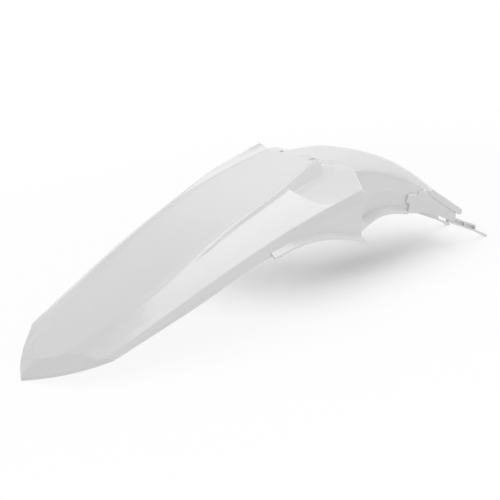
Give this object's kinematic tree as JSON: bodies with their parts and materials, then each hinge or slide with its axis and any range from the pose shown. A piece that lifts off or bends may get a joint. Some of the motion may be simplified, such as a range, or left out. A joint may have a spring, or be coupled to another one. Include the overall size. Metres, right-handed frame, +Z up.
{
  "type": "motorcycle rear fender",
  "caption": "Moulded motocross rear fender: a pointed tail panel with ridges and bevels, side skirts, side-panel pockets, and an arched neck with bolt seats and fixing tongues under the seat.",
  "frame": {"origin": "middle of the bounding box at floor level, on the centre plane", "axes": "+X forward, from the tail tip to the fixing tongues; +Y to the left of a rider; +Z up as the fender stands on its tail tip and tongues"},
  "size_m": [0.7646, 0.2218, 0.1868],
  "materials": {
    "white_plastic": "semi-gloss moulded polypropylene"
  },
  "bodies": {
    "root": {"rear_fender": "white_plastic"}
  },
  "joints": []
}
